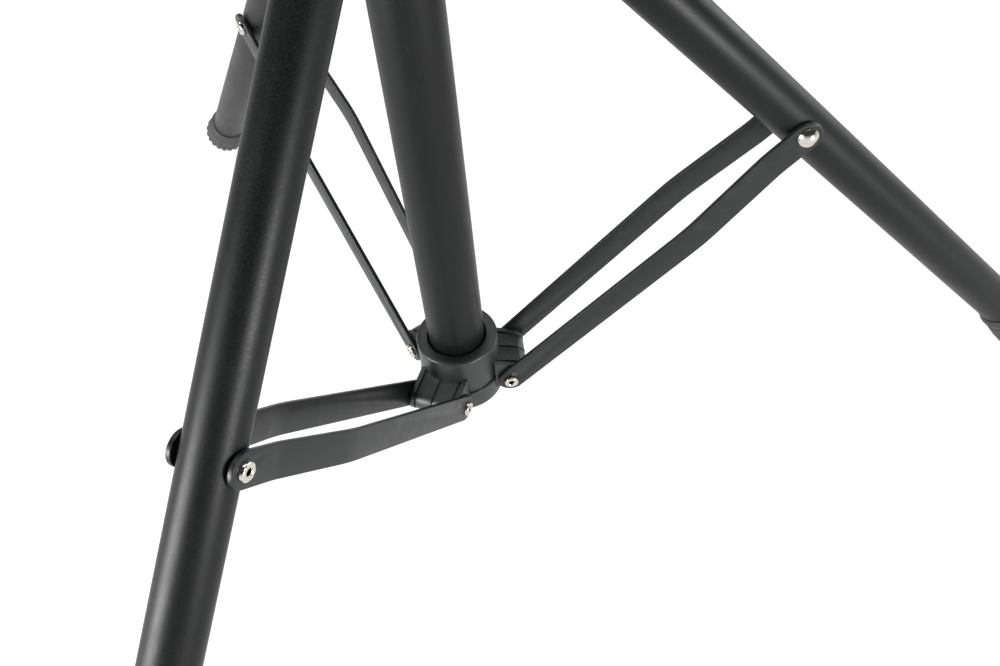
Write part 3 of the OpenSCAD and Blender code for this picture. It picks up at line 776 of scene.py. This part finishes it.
def make_mast_clamp():
    """A cap on the column's top, with a boss for the clamp screw."""
    top = high("mast_clamp")
    column_top, foot, outer = top - 4, low("mast_clamp"), COLUMN_R + 4.5
    bore, waist = COLUMN_R + FIT, outer - 0.9
    clamp = turned("mast_clamp_moulding", [
        (bore, foot, 0.4), (outer, foot, 1), (outer, foot + 7, 0.4), (waist, foot + 7.8, 0.4),
        (waist, top - 10, 0.4), (outer, top - 9.2, 0.4), (outer, top, 2), (MAST_R + 0.6, top, 0.6),
        (MAST_R + 0.6, column_top + 1.6, 0), (bore, column_top + 1.6, 0),
    ], steps=128, ring=True)
    place = boss_place("mast_knob")
    boss = turned("boss", [
        (0, COLUMN_R + 1.5, 0), (8, COLUMN_R + 1.5, 0), (8, outer + 10, 0.8), (0, outer + 10, 0),
    ], steps=64)
    combine(clamp, moved(boss, place))
    cut(clamp, rod(SCREW_R, 200, place @ at_height(100)))
    cut(clamp, rod(bore, 2 * (column_top - foot - 1), at_height(foot - 1), 128))
    settle(clamp, STANDING, NYLON, "column", "black_moulding", "mast_clamp")


def make_mast_head():
    """The moulded plug that carries the yoke's swivel."""
    top = high("mast_head")
    base, deep, neck, seat = top - 24, 26, 11, 14
    inner = MAST_R - MAST_WALL - FIT
    head = turned("mast_head_moulding", [
        (SCREW_R, base - deep, 0), (inner, base - deep, 0.5), (inner, base, 0),
        (MAST_R + 1, base, 0.4), (MAST_R + 1, base + 3, 0.8), (neck, base + 8, 3), (neck, top - 6, 2),
        (seat, top - 3, 0.8), (seat, top, 0.5), (SCREW_R, top, 0.3),
    ], ring=True)
    settle(head, STANDING, NYLON, "mast", "black_moulding", "mast_head")


# ---- Yoke ----

YOKE_T = 6
YOKE_W = 28
PAD_T = 3
CRADLE_HALF = 21
ARM_H = 62
ARM_LEAN = math.radians(14)
POST_H = 12               # the yoke's post, from its seat to the underside of the cradle


def cradle_line(floor):
    """Middle line of the cradle's wall, up the right arm from the middle of its floor."""
    tip = CRADLE_HALF + ARM_H * math.tan(ARM_LEAN)
    corner = (CRADLE_HALF, floor - YOKE_T / 2)
    right = rounded([(0, floor - YOKE_T / 2, 0), (*corner, 13), (tip, floor + ARM_H, 0)], steps=12)
    left = [Vector((-p.x, p.y)) for p in reversed(right[1:])]
    return left + right


def beside(line, distance):
    """The line moved sideways, to its left."""
    shifted = []
    for i, p in enumerate(line):
        way = (line[min(i + 1, len(line) - 1)] - line[max(i - 1, 0)]).normalized()
        shifted.append(p + Vector((-way.y, way.x)) * distance)
    return shifted


def make_yoke():
    """A flat-bottomed fork of bent section on a round post, with rounded tips."""
    base = low("yoke")
    floor = base + POST_H + YOKE_T
    line = cradle_line(floor)
    wall = beside(line, YOKE_T / 2) + list(reversed(beside(line, -YOKE_T / 2)))
    yoke = slab("rest_yoke", wall, YOKE_W, 1.2)
    post = turned("post", [
        (SCREW_R, base, 0.3), (14, base, 0.8), (14, base + POST_H + 1, 0), (SCREW_R, base + POST_H + 1, 0),
    ], ring=True)
    combine(yoke, post)
    for end in (line[0], line[-1]):
        tip = turned("tip", [
            (0, -YOKE_W / 2, 0), (4.2, -YOKE_W / 2, 1), (4.2, YOKE_W / 2, 1), (0, YOKE_W / 2, 0),
        ], steps=48)
        combine(yoke, moved(tip, Matrix.Translation((end.x, 0, end.y)) @ ACROSS))
    cut(yoke, rod(7, 20, at_height(base + 20)))
    cut(yoke, rod(SCREW_R, 60, at_height(base)))
    settle(yoke, STANDING, NYLON, "yoke", "black_moulding", "yoke")


def make_liner():
    """A rubber strip in the cradle, ribbed across so that the load doesn't slide."""
    floor = low("yoke") + POST_H + YOKE_T
    line = [p for p in cradle_line(floor) if p.y < floor + ARM_H - YOKE_T - 2]
    spacing, rib = 3.2, 0.45
    top = floor + ARM_H - YOKE_T - 1.5
    reach = math.tan(ARM_LEAN)
    ends = [Vector((s * (CRADLE_HALF + (top - floor + YOKE_T / 2) * reach), top)) for s in (-1, 1)]
    line = divided([ends[0]] + line + [ends[1]], spacing / 4)
    inner = beside(line, YOKE_T / 2 + 0.05)
    valleys, crests = beside(line, YOKE_T / 2 + PAD_T - rib), beside(line, YOKE_T / 2 + PAD_T)
    outer = [p + (q - p).normalized() * rib * (1 if i % 4 < 2 else 0)
             for i, (p, q) in enumerate(zip(valleys, crests))]
    points = outer + list(reversed(inner))
    liner = strip_from("rubber_liner", points, YOKE_W - 4)
    settle(liner, STANDING, PAD_RUBBER, "yoke", "pad_rubber", "yoke_liner")


def divided(line, step):
    """The line with points at equal steps."""
    points, left = [line[0]], step
    for a, b in zip(line, line[1:]):
        length, done = (b - a).length, 0
        while length - done > left:
            done += left
            points.append(a + (b - a) * done / length)
            left = step
        left -= length - done
    return points + [line[-1]]


def strip_from(name, points, width):
    """A closed outline drawn out across Y, filled in quads between its two long sides."""
    count = len(points)
    mesh = bpy.data.meshes.new(name)
    mesh.from_pydata([(p.x, y, p.y) for y in (-width / 2, width / 2) for p in points], [],
                     [(i, (i + 1) % count, count + (i + 1) % count, count + i) for i in range(count)])
    piece = bpy.data.objects.new(name, mesh)
    bpy.context.scene.collection.objects.link(piece)
    take(piece)
    bpy.ops.object.mode_set(mode="EDIT")
    half = count // 2
    model = bmesh.from_edit_mesh(piece.data)
    model.verts.ensure_lookup_table()
    for start in (0, count):
        for i in range(half - 1):
            a, b = start + i, start + i + 1
            c, d = start + count - 2 - i, start + count - 1 - i
            model.faces.new([model.verts[k] for k in (a, b, c, d)])
    bmesh.update_edit_mesh(piece.data)
    bpy.ops.mesh.select_all(action="SELECT")
    bpy.ops.mesh.normals_make_consistent(inside=False)
    bpy.ops.object.mode_set(mode="OBJECT")
    return piece


# ---- Pieces that keep their CAD shape ----

KEPT = {
    "column_plug": NYLON, "plug_insert": BRASS, "hub_washer": ZINC, "hub_screw": ZINC,
    "collar_liner": NATURAL, "collar_pad": BRASS, "collar_screw": ZINC,
    "mast_bush": NATURAL, "mast_pad": BRASS, "mast_screw": ZINC, "mast_end_plug": NATURAL,
    "swivel_bolt": ZINC, "swivel_washer": NATURAL,
    **{f"pivot_sleeve_{side}": BRASS for side in SIDES},
}


def finish_kept():
    """Gives these nodes their materials and smooth shading, and leaves their meshes alone."""
    for name, material in KEPT.items():
        node = frame["nodes"][name]
        node.data.materials.clear()
        node.data.materials.append(material)
        take(node)
        bpy.ops.object.shade_smooth_by_angle(angle=math.radians(30))


# ---- Studio, in metres ----

LENS = 32.48
CAMERA_FROM_HUB = Vector((0.01285, -0.36528, 0.44471))
AIM_FROM_HUB = Vector((0.02732, 0.02209, 0))
CAMERA_ROLL = math.radians(-5.55)


def make_floor():
    """A wide round sheet of paper under the feet."""
    bpy.ops.object.select_all(action="DESELECT")
    bpy.ops.mesh.primitive_circle_add(vertices=96, radius=6, fill_type="NGON", location=(0, 0, 0))
    floor = bpy.context.object
    floor.name = "paper_floor"
    floor.data.materials.append(studio_white())


def soft_light(name, place, target, size, power):
    """A softbox of that size in metres, aimed at the target."""
    light = bpy.data.lights.new(name, "AREA")
    light.shape, light.size, light.size_y, light.energy = "RECTANGLE", size[0], size[1], power
    lamp = bpy.data.objects.new(name, light)
    lamp.location = place
    lamp.rotation_euler = (Vector(target) - Vector(place)).to_track_quat("-Z", "Y").to_euler()
    bpy.context.scene.collection.objects.link(lamp)


def make_studio():
    """A white table with low softboxes at the left and front right, under a dark ceiling."""
    make_floor()
    middle = (0, 0, 0.2)
    soft_light("left_softbox", (-1.35, -0.75, 0.4), middle, (0.75, 0.6), 42)
    soft_light("front_right_softbox", (1.05, -1.2, 0.3), middle, (0.5, 0.45), 24)
    soft_light("right_softbox", (1.7, 0.8, 0.6), middle, (1.0, 0.8), 10)
    soft_light("top_softbox", (0.1, 0.75, 2.2), (0, 0.1, 0), (2.4, 1.8), 34)
    world = bpy.data.worlds.new("white_studio")
    world.use_nodes = True
    tree = world.node_tree
    tree.nodes.clear()
    height = add(tree, "SeparateXYZ", Vector=add(tree, "TexCoord").outputs["Generated"]).outputs[2]
    glow = spread(tree, height, 0.1, 0.45, 0.94, 0.06)
    background = add(tree, "Background", Color=linear("#fbfcfc"), Strength=glow)
    add(tree, "OutputWorld", Surface=background.outputs[0])
    bpy.context.scene.world = world
    bpy.context.scene.view_settings.view_transform = "Standard"


def make_camera():
    """Stands close in front of the stand and looks steeply down at the hub, rolled a little."""
    hub = Vector((0, 0, HUB_Z * MM))
    camera = bpy.data.objects.new("camera", bpy.data.cameras.new("camera"))
    camera.data.sensor_width, camera.data.lens = 36, LENS
    camera.location = hub + CAMERA_FROM_HUB
    aim = hub + AIM_FROM_HUB - camera.location
    roll = Matrix.Rotation(CAMERA_ROLL, 4, "Z")
    camera.rotation_mode = "QUATERNION"
    camera.rotation_quaternion = (aim.to_track_quat("-Z", "Y").to_matrix().to_4x4() @ roll).to_quaternion()
    camera.data.clip_start, camera.data.clip_end = 0.01, 50
    bpy.context.scene.collection.objects.link(camera)
    bpy.context.scene.camera = camera


make_tubes()
make_hub_rivets()
make_leg_rivets()
make_straps()
make_hub()
make_feet()
make_leg_plugs()
make_collar()
make_collar_rivets()
make_knob("collar_grip", "collar_knob", "collar_clamp")
make_knob("mast_grip", "mast_knob", "mast_clamp_screw")
make_mast_clamp()
make_mast_head()
make_yoke()
make_liner()
finish_kept()
make_studio()
make_camera()
